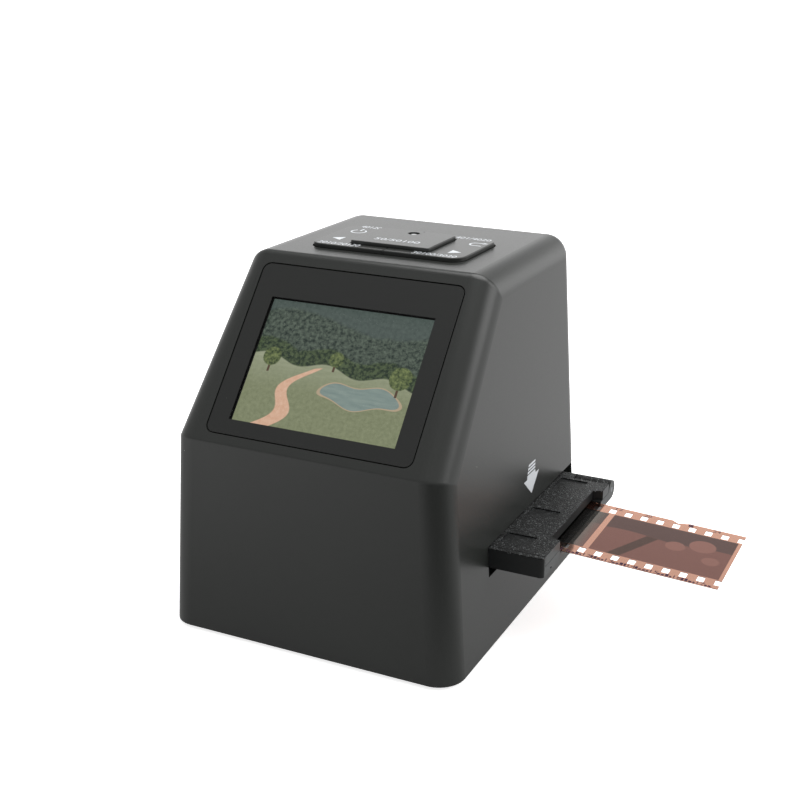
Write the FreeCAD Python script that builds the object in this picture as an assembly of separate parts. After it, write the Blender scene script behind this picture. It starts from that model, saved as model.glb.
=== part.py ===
"""Film negative scanner: a desk unit with a sloping screen, a key pad on top and a
film holder that slides through the body above a light box.

Lengths are millimetres. X runs to the right, Y to the back and Z up. The origin is the
centre of the footprint, on the table that the rubber feet stand on.
"""

import FreeCAD, Part
import math
import os

V = FreeCAD.Vector

# Housing
width = 89.0
depth = 100.0
height = 101.0
foot_stand = 1.0
wall = 2.2
slope_rise = 44.4
slope_run = 37.314
side_draft_deg = 3.6
front_draft_deg = 1.2
back_draft_deg = 1.0
side_edge_radius = 7.5
bend_radius = 1.2
top_front_radius = 2.5
top_back_radius = 4.0

# Slots in the two side walls that the film holder passes through
slot_front_gap = 0.3
slot_back_space = 4.5
slot_low = 20.9
slot_high = 29.75

# Screen window and what lies behind it, measured on the sloping face
window_width = 61.3
window_height = 51.0
window_radius = 2.3
window_thick = 1.2
window_rise = 3.0
window_sink = 0.1
window_groove = 0.35
gasket_thick = 0.2
picture_width = 49.6
picture_height = 36.7
picture_rise = 7.35
panel_border = 2.9
panel_thick = 2.4
panel_gap = 0.2
bracket_thick = 1.2
bracket_rim = 1.6
bracket_lap = 2.5
bracket_boss_x = 32.8
bracket_boss_spread = 28.0
boss_radius = 2.2

# Key pad on the top
pad_width = 47.4
pad_setback = 9.0
pad_depth = 27.7
pad_radius = 4.5
pad_rise = 1.2
pad_recess = 1.4
pad_groove = 0.4
pad_ledge = 3.2
pad_floor_thick = 1.8
pad_floor_lap = 1.5
key_edge_radius = 0.3
key_rock = 0.6
key_gap = 0.3
ok_width = 24.6
ok_setback = 3.9
ok_depth = 19.0
ok_radius = 0.9
ok_rise = 1.0
ok_travel = 0.5
rocker_seam = 0.15
stem_radius = 1.3
stem_x = 15.2
stem_spread = 15.2
pivot_radius = 0.8
pivot_drop = 1.0
pivot_lip = 0.4
pivot_fit = 0.05
saddle_width = 2.0
saddle_depth = 3.6
saddle_x = 13.6
saddle_pitch = 4.6
pivot_web = 1.4
key_frame_thick = 1.6
leg_x = 7.5
leg_width = 2.4
leg_thick = 1.2
leg_hook = 0.6

# Key board, its switches and the light pipe
key_board_drop = 7.2
board_thick = 1.6
key_boss_x = 21.5
key_boss_radius = 2.0
key_boss_fit = 0.1
key_sleeve_wall = 0.9
switch_size = 6.0
switch_height = 3.5
button_radius = 1.7
button_height = 0.6
rocker_play = 0.3
pipe_radius = 1.35
pipe_inset = 2.8
pipe_sink = 0.3
pipe_gap = 0.4
lamp_size = 2.0
lamp_height = 0.8

# Base cover, feet and screws
cover_thick = 2.0
cover_sink = 0.4
cover_gap = 0.15
cover_lip = 3.0
cover_lip_wall = 1.6
foot_radius = 4.2
foot_set = 0.8
foot_bevel = 0.4
foot_inset = 10.5
base_boss_side = 11.0
base_boss_end = 11.4
base_boss_radius = 3.2
base_boss_height = 13.0
rib_thick = 1.6
screw_radius = 1.2
screw_fit = 0.05
screw_length = 8.0
screw_head_radius = 2.4
screw_head_height = 1.2
board_screw_radius = 0.9
board_screw_length = 4.0
board_screw_head_radius = 1.7
board_screw_head_height = 0.9
pilot_spare = 0.5

# Film holder: a base and a hinged lid that clamp the strip
holder_out = 58.5
holder_in = -43.5
holder_low = 23.75
holder_base_thick = 2.85
holder_lid_thick = 2.85
holder_corner = 1.2
lid_seam = 0.15
holder_lip = 1.6
knuckle_length = 11.0
knuckle_gap = 0.3
hinge_pin_radius = 0.8
hinge_fit = 0.05
notch_depth = 2.85
notch_front_reach = 17.05
notch_back_reach = 18.15
notch_splay = 1.2
gate_window_x = 37.2
gate_window_y = 25.0
deboss_depth = 0.35
deboss_out = 52.2
deboss_width = 8.4
deboss_height = 6.4
deboss_places = (20.55, -3.65, -22.45)
ramp_length = 4.5
ramp_drop = 0.5
latch_inset = 6.0
latch_size = 0.9

# Film strip: 35 mm film with four frames, part of it outside the holder
film_width = 35.0
film_thick = 0.14
film_out = 102.0
film_frame_pitch = 38.0
film_frames = 4
film_gap = 0.15
film_side_gap = 0.15
channel_depth = 0.6
perforation_pitch = 4.75
perforation_length = 1.98
perforation_height = 2.8
perforation_row = 14.09
perforation_offset = 0.6
droop_start = 54.8
droop_deg = 2.6
droop_radius = 60.0
nick_out = 80.6
nick_length = 5.0
nick_depth = 1.3

# Gate: the chassis that guides the holder
gate_clear = 0.3
gate_length = 79.0
gate_wall = 2.0
gate_floor_thick = 2.5
gate_roof_thick = 2.0
gate_foot_x = 28.0
gate_foot_inset = 5.0
gate_foot_radius = 3.0
spring_length = 26.0
spring_thick = 0.3
spring_height = 3.2
spring_press = 0.1
spring_bow = 1.2

# Light box under the gate
light_box_x = 45.0
light_box_y = 33.0
light_box_floor = 30.0
light_box_wall = 1.2
diffuser_thick = 1.5
diffuser_lap = 2.0
lamp_board_x = 27.0
lamp_board_y = 18.0
lamp_count = 3

# Lens tower, lens and sensor above the gate
tower_foot_x = 46.0
tower_foot_y = 33.0
tower_neck = 21.0
tower_wall = 1.4
tower_flange_thick = 1.5
sensor_board_x = 30.0
sensor_board_y = 24.0
sensor_head_room = 2.55
lens_mount_size = 16.0
lens_mount_height = 10.0
lens_radius = 6.0
lens_length = 12.4
lens_fit = 0.05
lens_drop = 4.4
glass_radius = 3.6
sensor_size = 8.0
sensor_height = 1.0

# Main board with its sockets, on posts that rise from the gate
main_board_height = 51.0
main_board_x = 70.0
main_board_gap = 0.5
tower_gap = 1.0
post_radius = 2.4
post_x = 31.0
card_x = 15.0
card_width = 26.0
card_setback = 3.7
card_height = 3.0
card_slot_width = 24.6
card_slot_height = 2.4
usb_x = -18.0
usb_width = 7.6
usb_depth = 9.0
usb_height = 3.9
usb_wall = 0.5
socket_reach = 0.3
port_gap = 0.4
cable_width = 8.0
cable_thick = 0.3
cable_bend = 4.0
screen_cable_gap = 0.9
sensor_cable_gap = 2.5

# How far cuts run past the solid that they open
over = 1.0

# Places worked out from the sizes above


def rise(run, degrees):
    """Offset of a drafted wall after a run along it."""
    return run * math.tan(math.radians(degrees))


top_z = foot_stand + height
bend_z = top_z - slope_rise
bend_y = -depth / 2 + rise(height - slope_rise, front_draft_deg)
top_front_y = bend_y + slope_run
top_back_y = depth / 2 - rise(height, back_draft_deg)
slope_deg = math.degrees(math.atan2(slope_rise, slope_run))

window_v = window_rise + window_height / 2
picture_v = picture_rise + picture_height / 2
window_back = -(window_sink + window_thick)
panel_front = window_back - gasket_thick
panel_back = panel_front - panel_thick
panel_width = picture_width + 2 * panel_border
panel_height = picture_height + 2 * panel_border
bracket_back = panel_back - bracket_thick

cover_low = foot_stand + cover_sink
cover_top = cover_low + cover_thick

pad_front = top_front_y + pad_setback
pad_y = pad_front + pad_depth / 2
pad_top = top_z + pad_rise
pad_floor = top_z - pad_recess
key_low = pad_floor + key_rock
ok_top = pad_top + ok_rise
ok_y = pad_front + ok_setback + ok_depth / 2
pipe_y = ok_y + ok_depth / 2 - pipe_inset
pivot_z = key_low - pivot_drop
frame_top = pad_floor - pad_floor_thick
frame_low = frame_top - key_frame_thick
key_board_top = top_z - wall - key_board_drop
key_board_low = key_board_top - board_thick
switch_top = key_board_top + switch_height + button_height

holder_front = -depth * 0.239
holder_back = depth * 0.38
slot_front = holder_front - slot_front_gap
slot_back = depth / 2 - slot_back_space
holder_low_z = foot_stand + holder_low
parting_z = holder_low_z + holder_base_thick
holder_top_z = parting_z + holder_lid_thick
holder_y = (holder_front + holder_back) / 2
hinge_radius = (holder_top_z - holder_low_z) / 2
hinge_y = holder_back - hinge_radius
hinge_z = (holder_top_z + holder_low_z) / 2
channel_z = parting_z - channel_depth
film_z = channel_z + film_gap

gate_low = holder_low_z - gate_clear - gate_floor_thick
gate_floor = gate_low + gate_floor_thick
gate_roof = holder_top_z + gate_clear
gate_top = gate_roof + gate_roof_thick
gate_front = holder_front - gate_clear
gate_back = holder_back + gate_clear
gate_foot_y = (holder_front + gate_foot_inset, holder_back - gate_foot_inset)
gate_seat = gate_floor - board_screw_head_height - screw_fit

light_box_top = gate_low - diffuser_thick
sensor_board_top = key_board_low - sensor_head_room
sensor_board_low = sensor_board_top - board_thick
tower_top = sensor_board_low - tower_flange_thick
tower_mid = gate_top + (tower_top - gate_top) * 5 / 8
lens_low = sensor_board_low - lens_mount_height - lens_drop
main_board_low = foot_stand + main_board_height
main_board_top = main_board_low + board_thick
back_wall_y = depth / 2 - rise(main_board_height, back_draft_deg) - wall
main_board_back = back_wall_y - main_board_gap
tower_share = (main_board_low - gate_top) / (tower_mid - gate_top)
tower_half_x = (tower_foot_x - (tower_foot_x - tower_neck) * tower_share) / 2
tower_half_y = (tower_foot_y - (tower_foot_y - tower_neck) * tower_share) / 2
main_board_front = holder_y + tower_half_y + tower_gap
main_board_y = main_board_back - main_board_front
post_y = (main_board_front + main_board_y * 4 / 25, main_board_front + main_board_y * 3 / 5)
card_back = main_board_back + socket_reach
card_front = main_board_front + card_setback
screen_cable_x = -(tower_half_x + screen_cable_gap + cable_width / 2)
sensor_cable_x = card_x - card_width / 2 - sensor_cable_gap - cable_width / 2

KEY_BOSSES = [(sx * key_boss_x, pad_y + sy * (pad_depth / 2 - key_boss_radius - key_sleeve_wall))
              for sx in (-1, 1) for sy in (-1, 1)]
BASE_BOSSES = [(sx * (width / 2 - base_boss_side), sy * (depth / 2 - base_boss_end))
               for sx in (-1, 1) for sy in (-1, 1)]
BRACKET_BOSSES = [(sx * bracket_boss_x, picture_v + sy * bracket_boss_spread / 2)
                  for sx in (-1, 1) for sy in (-1, 1)]
GATE_FEET = [(sx * gate_foot_x, y) for sx in (-1, 1) for y in gate_foot_y]
POSTS = [(sx * post_x, y) for sx in (-1, 1) for y in post_y]
ROCKER_STEMS = [pad_y - stem_spread / 2, pad_y + stem_spread / 2]
SENSOR_SCREWS = [(sx * (sensor_board_x / 2 - board_screw_head_radius),
                  holder_y + sy * (sensor_board_y / 2 - board_screw_head_radius))
                 for sx in (-1, 1) for sy in (-1, 1)]


# Shapes that several pieces use


def box(x, y, z):
    """Box between a low and a high limit on each axis."""
    return Part.makeBox(x[1] - x[0], y[1] - y[0], z[1] - z[0], V(x[0], y[0], z[0]))


def block(x_size, y_size, z, at=(0, 0)):
    """Box of two sizes about a centre line, between two heights."""
    return box((at[0] - x_size / 2, at[0] + x_size / 2), (at[1] - y_size / 2, at[1] + y_size / 2), z)


def plate(x_size, y_size, radius, z, at=(0, 0)):
    """Block with its upright corners rounded."""
    solid = block(x_size, y_size, z, at)
    return solid.makeFillet(radius, [e for e in solid.Edges if is_upright(e)])


def is_upright(edge):
    a, b = edge.Vertexes[0].Point, edge.Vertexes[-1].Point
    return abs(a.x - b.x) + abs(a.y - b.y) < over / 1000


def post(radius, z, at=(0, 0)):
    """Upright cylinder between two heights."""
    return Part.makeCylinder(radius, z[1] - z[0], V(at[0], at[1], z[0]))


def rod(radius, x, y, z):
    """Cylinder that lies along X."""
    return Part.makeCylinder(radius, x[1] - x[0], V(x[0], y, z), V(1, 0, 0))


def prism(points, length):
    """Solid swept from a flat outline."""
    return Part.Face(Part.makePolygon(points + points[:1])).extrude(length)


def join(solids):
    """One solid from solids that meet."""
    joined = solids[0].fuse(solids[1:]) if len(solids) > 1 else solids[0]
    return joined.removeSplitter()


def frustum(low_size, high_size, z, at=(0, 0)):
    """Four-sided taper between two rectangles."""
    wires = []
    for (x_size, y_size), level in zip((low_size, high_size), z):
        corners = [V(at[0] + sx * x_size / 2, at[1] + sy * y_size / 2, level)
                   for sx, sy in ((-1, -1), (1, -1), (1, 1), (-1, 1))]
        wires.append(Part.makePolygon(corners + corners[:1]))
    return Part.makeLoft(wires, True, True)


def screw(radius, length, head_radius, head_height, at, up):
    """Pan-head screw whose head seats on a plane; up is 1 if the shank points up."""
    x, y, z = at
    shank = Part.makeCylinder(radius, length, V(x, y, z), V(0, 0, up))
    head = Part.makeCylinder(head_radius, head_height, V(x, y, z), V(0, 0, -up))
    slot = block(head_radius, head_height / 2, sorted((z - up * head_height, z - up * head_height / 2)),
                 (x, y))
    return join([shank, head]).cut(slot)


def board_screw(at, up):
    return screw(board_screw_radius, board_screw_length, board_screw_head_radius,
                 board_screw_head_height, at, up)


def on_slope(solid):
    """Carry a solid from the flat to the sloping face: its X Y plane becomes the face."""
    placed = solid.copy()
    placed.Placement = FreeCAD.Placement(V(0, bend_y, bend_z), FreeCAD.Rotation(V(1, 0, 0), slope_deg))
    return placed


def slope_point(v, w):
    """Y and Z of a point that lies v up the slope and w out of it."""
    a = math.radians(slope_deg)
    return bend_y + v * math.cos(a) - w * math.sin(a), bend_z + v * math.sin(a) + w * math.cos(a)


# Housing


def inset_outline(points, inset):
    """Convex outline with every side moved in by the same distance."""
    moved = []
    for before, here, after in zip(points[-1:] + points[:-1], points, points[1:] + points[:1]):
        first, second = (here - before).normalize(), (after - here).normalize()
        inward = V(-first.y, first.x, 0) + V(-second.y, second.x, 0)
        moved.append(here + inward * (inset / (1 + first.dot(second))))
    return moved


def side_outline(low):
    """Outline of the housing seen from the side, down to a height: Y and Z as x and y."""
    drop = foot_stand - low
    return [V(-depth / 2 - rise(drop, front_draft_deg), low, 0),
            V(depth / 2 + rise(drop, back_draft_deg), low, 0),
            V(top_back_y, top_z, 0), V(top_front_y, top_z, 0), V(bend_y, bend_z, 0)]


def front_outline(low):
    """Outline of the housing seen from the front, down to a height: X and Z as x and y."""
    half_low = width / 2 + rise(foot_stand - low, side_draft_deg)
    half_top = width / 2 - rise(height, side_draft_deg)
    return [V(-half_low, low, 0), V(half_low, low, 0), V(half_top, top_z, 0), V(-half_top, top_z, 0)]


def body_block(inset, low, radius):
    """The housing's form, moved in by a wall, with its long side edges rounded."""
    side = inset_outline(side_outline(low - inset), inset)
    front = inset_outline(front_outline(low - inset), inset)
    across = prism([V(-width, p.x, p.y) for p in side], V(2 * width, 0, 0))
    along = prism([V(p.x, -depth, p.y) for p in front], V(0, 2 * depth, 0))
    solid = across.common(along).removeSplitter()
    edges = [e for e in solid.Edges
             if e.Vertexes[0].X * e.Vertexes[1].X > 0
             and max(e.Vertexes[0].Z, e.Vertexes[1].Z) > low + over / 1000]
    return solid.makeFillet(radius, edges)


def soften(solid, y, z, radius):
    """Round the edge that runs along X at one place of the side outline."""
    edges = [e for e in solid.Edges
             if all(abs(v.Y - y) + abs(v.Z - z) < over / 1000 for v in e.Vertexes)]
    return solid.makeFillet(radius, edges)


def window_hole():
    """Recess for the window and the opening behind it that the screen fills."""
    recess = plate(window_width + 2 * window_groove, window_height + 2 * window_groove,
                   window_radius + window_groove, (window_back, over), (0, window_v))
    opening = block(panel_width + 2 * panel_gap, panel_height + 2 * panel_gap,
                    (panel_back, window_back + over), (0, picture_v))
    return on_slope(join([recess, opening]))


def pad_hole():
    """Recess that the keys lie in and the opening through its floor."""
    recess = plate(pad_width + 2 * pad_groove, pad_depth + 2 * pad_groove, pad_radius + pad_groove,
                   (pad_floor, top_z + over), (0, pad_y))
    opening = block(pad_width - 2 * pad_ledge, pad_depth - 2 * pad_ledge,
                    (frame_top - over, pad_floor + over), (0, pad_y))
    return join([recess, opening])


def port_holes():
    """Openings in the back wall for the memory card and the plug."""
    card = block(card_slot_width + 2 * port_gap, 4 * wall,
                 (main_board_top + card_height / 2 - card_slot_height / 2 - port_gap,
                  main_board_top + card_height / 2 + card_slot_height / 2 + port_gap), (card_x, depth / 2))
    usb = block(usb_width + 2 * port_gap, 4 * wall,
                (main_board_top - port_gap, main_board_top + usb_height + port_gap), (usb_x, depth / 2))
    return [card, usb]


def housing_bosses():
    """Screw bosses and ribs on the inside of the housing."""
    bosses = []
    for x, y in BASE_BOSSES:
        z = (cover_top, cover_top + base_boss_height)
        to_side, to_end = math.copysign(width, x), math.copysign(depth, y)
        bosses.append(post(base_boss_radius, z, (x, y)))
        bosses.append(box(sorted((x, to_side)), (y - rib_thick / 2, y + rib_thick / 2), z))
        bosses.append(box((x - rib_thick / 2, x + rib_thick / 2), sorted((y, to_end)), z))
    for x, v in BRACKET_BOSSES:
        bosses.append(on_slope(post(boss_radius, (panel_back, -wall / 2), (x, v))))
    bosses.append(plate(pad_width + 2 * pad_floor_lap, pad_depth + 2 * pad_floor_lap,
                        pad_radius + pad_floor_lap, (frame_top, top_z - wall / 2), (0, pad_y)))
    bosses += [post(key_boss_radius, (key_board_top, frame_top + over), place) for place in KEY_BOSSES]
    return bosses


def pilot_holes():
    """Holes that the screws bite into."""
    holes = [post(screw_radius + screw_fit, (cover_top - over, cover_low + screw_length + pilot_spare), place)
             for place in BASE_BOSSES]
    holes += [on_slope(post(board_screw_radius + screw_fit,
                            (panel_back - over, bracket_back + board_screw_length + screw_fit), place))
              for place in BRACKET_BOSSES]
    holes += [post(board_screw_radius + screw_fit,
                   (key_board_top - over, key_board_low + board_screw_length + pilot_spare), place)
              for place in KEY_BOSSES]
    return holes


def housing():
    outer = body_block(0, foot_stand, side_edge_radius)
    outer = soften(outer, bend_y, bend_z, bend_radius)
    outer = soften(outer, top_front_y, top_z, top_front_radius)
    outer = soften(outer, top_back_y, top_z, top_back_radius)
    inner = body_block(wall, foot_stand - over, side_edge_radius - wall)
    inside_wall = body_block(wall / 2, foot_stand, side_edge_radius - wall / 2)
    bosses = [boss.common(inside_wall) for boss in housing_bosses()]
    slots = block(2 * width, slot_back - slot_front, (foot_stand + slot_low, foot_stand + slot_high),
                  (0, (slot_front + slot_back) / 2))
    shell = outer.cut(inner).cut([slots] + port_holes())
    shell = shell.fuse(bosses)
    shell = shell.cut([window_hole(), pad_hole()] + pilot_holes())
    return shell.removeSplitter()


# Base cover, feet and screws


def base_cover():
    reach = wall + cover_gap
    outline = body_block(reach, cover_low, side_edge_radius - reach)
    slab = outline.common(block(width, depth, (cover_low, cover_top)))
    ring = outline.common(block(width, depth, (cover_top, cover_top + cover_lip)))
    lip_reach = reach + cover_lip_wall
    ring = ring.cut(body_block(lip_reach, cover_low, side_edge_radius - lip_reach))
    boss_room = [post(base_boss_radius + cover_gap, (cover_top, top_z), place) for place in BASE_BOSSES]
    for x, y in BASE_BOSSES:
        gap = rib_thick / 2 + cover_gap
        boss_room.append(box(sorted((x, math.copysign(width, x))), (y - gap, y + gap), (cover_top, top_z)))
        boss_room.append(box((x - gap, x + gap), sorted((y, math.copysign(depth, y))), (cover_top, top_z)))
    solid = slab.fuse(ring.cut(boss_room))
    feet = [post(gate_foot_radius, (cover_top - over, gate_low), place) for place in GATE_FEET]
    solid = solid.fuse(feet)
    holes = [post(screw_radius + screw_fit, (cover_low - over, cover_top + over), place)
             for place in BASE_BOSSES]
    holes += [post(screw_head_radius + screw_fit, (cover_low - over, cover_low + screw_head_height), place)
              for place in BASE_BOSSES]
    holes += [post(foot_radius, (cover_low - over, cover_low + foot_set), place) for place in foot_places()]
    holes += [post(board_screw_radius + screw_fit, (gate_low - board_screw_length, gate_low + over), place)
              for place in GATE_FEET]
    return solid.cut(holes).removeSplitter()


def foot_places():
    return [(sx * (width / 2 - foot_inset), sy * (depth / 2 - 2 * foot_inset))
            for sx in (-1, 1) for sy in (-1, 1)]


def rubber_feet():
    feet = []
    for x, y in foot_places():
        foot = post(foot_radius, (0, cover_low + foot_set), (x, y))
        low_rim = [e for e in foot.Edges if e.BoundBox.ZMax < over / 1000]
        feet.append(foot.makeChamfer(foot_bevel, low_rim))
    return Part.makeCompound(feet)


def base_screws():
    return Part.makeCompound([screw(screw_radius, screw_length - screw_head_height, screw_head_radius,
                                    screw_head_height, (x, y, cover_low + screw_head_height), 1)
                              for x, y in BASE_BOSSES])


# Screen


def screen_window():
    return on_slope(plate(window_width, window_height, window_radius, (window_back, -window_sink),
                          (0, window_v)))


def lcd_gasket():
    z = (panel_front, window_back)
    frame = block(panel_width, panel_height, z, (0, picture_v))
    hole = block(picture_width, picture_height, (z[0] - over, z[1] + over), (0, picture_v))
    return on_slope(frame.cut(hole))


def lcd_panel():
    return on_slope(block(panel_width, panel_height, (panel_back, panel_front), (0, picture_v)))


def lcd_bracket():
    z = (bracket_back, panel_back)
    frame = block(panel_width + 2 * bracket_rim, panel_height + 2 * bracket_rim, z, (0, picture_v))
    ears = [box(sorted((x - math.copysign(2 * boss_radius + bracket_rim, x), x + math.copysign(boss_radius, x))),
                (v - boss_radius, v + boss_radius), z) for x, v in BRACKET_BOSSES]
    opening = block(panel_width - 2 * bracket_lap, panel_height - 2 * bracket_lap,
                    (z[0] - over, z[1] + over), (0, picture_v))
    holes = [post(board_screw_radius + screw_fit, (z[0] - over, z[1] + over), place)
             for place in BRACKET_BOSSES]
    return on_slope(join([frame] + ears).cut([opening] + holes))


# Keys


def key_body(solid, z):
    """Take the sharpness off the top edges of a key."""
    edges = [e for e in solid.Edges if e.BoundBox.ZMin > z - over / 1000]
    return solid.makeFillet(key_edge_radius, edges)


def right_rocker():
    pad = plate(pad_width, pad_depth, pad_radius, (key_low, pad_top), (0, pad_y))
    room = plate(ok_width + 2 * key_gap, ok_depth + 2 * key_gap, ok_radius + key_gap,
                 (key_low - over, pad_top + over), (0, ok_y))
    right = box((rocker_seam / 2, width), (-depth, depth), (key_low - over, pad_top + over))
    body = key_body(pad.cut(room).common(right), pad_top)
    stems = [post(stem_radius, (switch_top + rocker_play, key_low + over / 2), (stem_x, y))
             for y in ROCKER_STEMS]
    axle = rod(pivot_radius, (saddle_x, saddle_x + saddle_width + saddle_pitch), pad_y, pivot_z)
    web = box((saddle_x + saddle_width + pivot_fit * 4, saddle_x + saddle_pitch - pivot_fit * 4),
              (pad_y - pivot_web / 2, pad_y + pivot_web / 2), (pivot_z, key_low + over / 2))
    return join([body, axle, web] + stems)


def left_rocker():
    return right_rocker().mirror(V(0, 0, 0), V(1, 0, 0))


def ok_key():
    body = key_body(plate(ok_width, ok_depth, ok_radius, (key_low, ok_top), (0, ok_y)), ok_top)
    stem = post(stem_radius, (switch_top + ok_travel + rocker_play, key_low + over / 2), (0, ok_y))
    legs = []
    for side in (-1, 1):
        x = sorted((side * leg_x, side * (leg_x + leg_thick)))
        hook_x = sorted((side * leg_x, side * (leg_x + leg_thick + leg_hook)))
        y = (ok_y - leg_width / 2, ok_y + leg_width / 2)
        legs.append(box(x, y, (frame_low - 2 * leg_hook, key_low + over / 2)))
        legs.append(box(hook_x, y, (frame_low - 2 * leg_hook, frame_low - leg_hook)))
    hole = post(pipe_radius + pipe_gap, (key_low - over, ok_top + over), (0, pipe_y))
    return join([body, stem] + legs).cut(hole)


def key_frame():
    """Carrier under the pad: it guides the keys and holds the rockers' axles."""
    slab = plate(pad_width, pad_depth, pad_radius, (frame_low, frame_top), (0, pad_y))
    sleeve_radius = key_boss_radius + key_boss_fit + key_sleeve_wall
    solids = [slab]
    solids += [post(sleeve_radius, (key_board_top, frame_low + over / 2), place) for place in KEY_BOSSES]
    cuts = [post(key_boss_radius + key_boss_fit, (key_board_top - over, frame_top + over), place)
            for place in KEY_BOSSES]
    for side in (-1, 1):
        for near in (saddle_x, saddle_x + saddle_pitch):
            x = sorted((side * near, side * (near + saddle_width)))
            solids.append(box(x, (pad_y - saddle_depth / 2, pad_y + saddle_depth / 2),
                              (frame_top - over / 2, pivot_z + pivot_lip)))
        x = sorted((side * (saddle_x - over), side * (saddle_x + saddle_pitch + saddle_width + over)))
        cuts.append(rod(pivot_radius + pivot_fit, x, pad_y, pivot_z))
        cuts += [post(stem_radius + key_gap, (frame_low - over, frame_top + over), (side * stem_x, y))
                 for y in ROCKER_STEMS]
        leg_mid = side * (leg_x + (leg_thick + leg_hook) / 2)
        cuts.append(block(leg_thick + leg_hook + 2 * key_gap, leg_width + 2 * key_gap,
                          (frame_low - over, frame_top + over), (leg_mid, ok_y)))
    cuts.append(post(button_radius + key_gap, (frame_low - over, frame_top + over), (0, ok_y)))
    cuts.append(post(pipe_radius + pivot_fit, (frame_low - over, frame_top + over), (0, pipe_y)))
    return join(solids).cut(cuts)


def key_board():
    board = plate(pad_width, pad_depth, pad_radius, (key_board_low, key_board_top), (0, pad_y))
    lamp = block(lamp_size, lamp_size, (key_board_top, key_board_top + lamp_height), (0, pipe_y))
    holes = [post(board_screw_radius + screw_fit, (key_board_low - over, key_board_top + over), place)
             for place in KEY_BOSSES]
    return join([board, lamp]).cut(holes)


def tact_switches():
    switches = []
    for x, y in [(0, ok_y)] + [(sx * stem_x, y) for sx in (-1, 1) for y in ROCKER_STEMS]:
        case = block(switch_size, switch_size, (key_board_top, key_board_top + switch_height), (x, y))
        button = post(button_radius, (key_board_top + switch_height, switch_top), (x, y))
        switches.append(join([case, button]))
    return Part.makeCompound(switches)


def light_pipe():
    z = (key_board_top + lamp_height, ok_top - pipe_sink)
    pipe = post(pipe_radius, z, (0, pipe_y))
    top_rim = [e for e in pipe.Edges if e.BoundBox.ZMin > z[1] - over / 1000]
    return pipe.makeFillet(pipe_radius / 2, top_rim)


# Film holder and strip


def knuckles_at_ends():
    """X ranges of the base's two hinge knuckles."""
    return [(holder_in, holder_in + knuckle_length), (holder_out - knuckle_length, holder_out)]


def middle_knuckle():
    """X range of the lid's long hinge knuckle."""
    return holder_in + knuckle_length + knuckle_gap, holder_out - knuckle_length - knuckle_gap


def round_outer_corner(solid):
    """Round the upright corner at the front of the holder's outer end."""
    edges = [e for e in solid.Edges if is_upright(e)
             and abs(e.Vertexes[0].X - holder_out) + abs(e.Vertexes[0].Y - holder_front) < over / 1000]
    return solid.makeFillet(holder_corner, edges)


def gate_window(z):
    return block(gate_window_x, gate_window_y, z, (0, holder_y))


def hinged_plate(front, z, own_knuckles, other_knuckles):
    """Flat leaf of the holder with its knuckles and room for the other leaf's."""
    leaf = box((holder_in, holder_out), (front, hinge_y), z)
    barrels = [rod(hinge_radius, x, hinge_y, hinge_z) for x in own_knuckles]
    room = [box((x[0] - knuckle_gap, x[1] + knuckle_gap),
                (hinge_y - hinge_radius - knuckle_gap, holder_back + over),
                (holder_low_z - over, holder_top_z + over)) for x in other_knuckles]
    length = (holder_in - over, holder_out + over)
    return join([leaf] + barrels).cut(room + [rod(hinge_pin_radius + hinge_fit, length, hinge_y, hinge_z)])


def holder_base():
    leaf = hinged_plate(holder_front, (holder_low_z, parting_z), knuckles_at_ends(), [middle_knuckle()])
    lip = box((holder_in, holder_out), (holder_front, holder_front + holder_lip), (holder_low_z, holder_top_z))
    leaf = round_outer_corner(leaf.fuse(lip).removeSplitter())
    half = film_width / 2 + film_side_gap
    channel = box((holder_in - over, holder_out + over), (holder_y - half, holder_y + half),
                  (channel_z, parting_z + over))
    ramp = prism([V(holder_out - ramp_length, holder_y - half, channel_z),
                  V(holder_out + ramp_length, holder_y - half, channel_z - 2 * ramp_drop),
                  V(holder_out + ramp_length, holder_y - half, channel_z + over),
                  V(holder_out - ramp_length, holder_y - half, channel_z + over)], V(0, 2 * half, 0))
    latch_y = holder_front + latch_inset
    latch = box((holder_out - latch_size, holder_out + over), (latch_y - latch_size / 2, latch_y + latch_size / 2),
                (holder_low_z + latch_size / 2, holder_low_z + latch_size))
    return leaf.cut([channel, ramp, gate_window((holder_low_z - over, parting_z + over)), latch])


def holder_lid():
    z = (parting_z + lid_seam, holder_top_z)
    leaf = hinged_plate(holder_front + holder_lip + lid_seam, z, [middle_knuckle()], knuckles_at_ends())
    under = (holder_low_z - over, z[1] + over)
    edge = holder_out - notch_depth
    notch_front, notch_back = holder_y - notch_front_reach, holder_y + notch_back_reach
    notch = prism([V(edge, notch_front, under[0]), V(edge, notch_back, under[0]),
                   V(holder_out, notch_back + notch_splay, under[0]),
                   V(holder_out + over, notch_back + notch_splay, under[0]),
                   V(holder_out + over, notch_front - notch_splay, under[0]),
                   V(holder_out, notch_front - notch_splay, under[0])], V(0, 0, under[1] - under[0]))
    panels = [block(deboss_width, deboss_height, (z[1] - deboss_depth, z[1] + over),
                    (deboss_out - deboss_width / 2, holder_y + place)) for place in deboss_places]
    return leaf.cut([notch, gate_window((under[0], under[1]))] + panels)


def hinge_pin():
    return rod(hinge_pin_radius, (holder_in, holder_out), hinge_y, hinge_z)


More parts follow.
